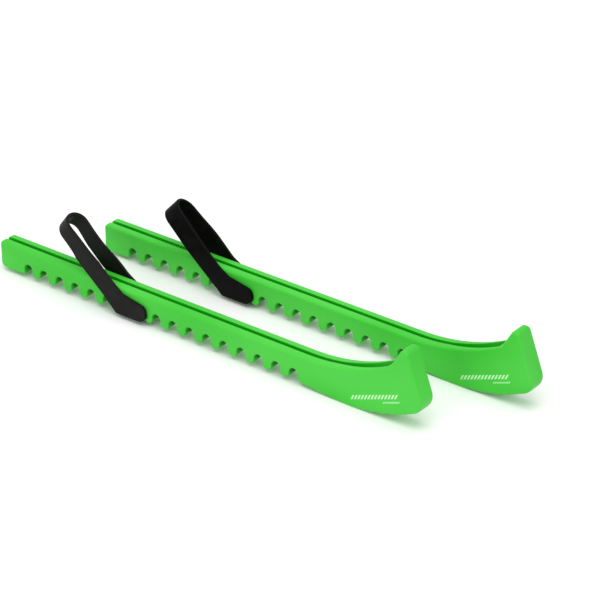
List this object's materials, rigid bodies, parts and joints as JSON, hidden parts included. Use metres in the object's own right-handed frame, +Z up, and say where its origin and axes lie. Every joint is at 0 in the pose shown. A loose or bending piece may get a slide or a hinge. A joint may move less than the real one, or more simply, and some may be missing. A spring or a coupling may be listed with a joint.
{
  "type": "skate blade guards",
  "caption": "Pair of notched channel guards that cover ice skate blades, each with a toe stop and a rubber loop strap that seats in its notches.",
  "frame": {"origin": "on the ground plane under the bellies, at the middle of the pair's bounding box", "axes": "+X towards the toes, +Y from the right guard to the left guard, +Z up out of the blade slots"},
  "size_m": [0.3662, 0.076, 0.0549],
  "materials": {
    "guard_green": "satin moulded elastomer",
    "strap_black": "matt moulded rubber"
  },
  "bodies": {
    "right_guard": {"right_guard": "guard_green"},
    "left_guard": {"left_guard": "guard_green"},
    "right_strap_foot": {"right_strap_foot": "strap_black"},
    "right_strap_loop": {"right_strap_loop": "strap_black"},
    "left_strap_foot": {"left_strap_foot": "strap_black"},
    "left_strap_loop": {"left_strap_loop": "strap_black"}
  },
  "joints": [
    {"name": "pair_separate", "type": "slide", "parent": "right_guard", "child": "left_guard", "axis": [0, 1, 0], "range_m": [0, 0.12]},
    {"name": "right_strap_release", "type": "slide", "parent": "right_guard", "child": "right_strap_foot", "axis": [0, 0, -1], "range_m": [0, 0.009]},
    {"name": "right_strap_swing", "type": "hinge", "parent": "right_strap_foot", "child": "right_strap_loop", "pos_m": [-0.08435, -0.02885, 0.01255], "axis": [0, 1, 0], "range_deg": [-12, 65], "stiffness_Nm_per_rad": 0.05},
    {"name": "left_strap_release", "type": "slide", "parent": "left_guard", "child": "left_strap_foot", "axis": [0, 0, -1], "range_m": [0, 0.009]},
    {"name": "left_strap_swing", "type": "hinge", "parent": "left_strap_foot", "child": "left_strap_loop", "pos_m": [-0.04695, 0.02885, 0.01255], "axis": [0, 1, 0], "range_deg": [-12, 65], "stiffness_Nm_per_rad": 0.05}
  ]
}
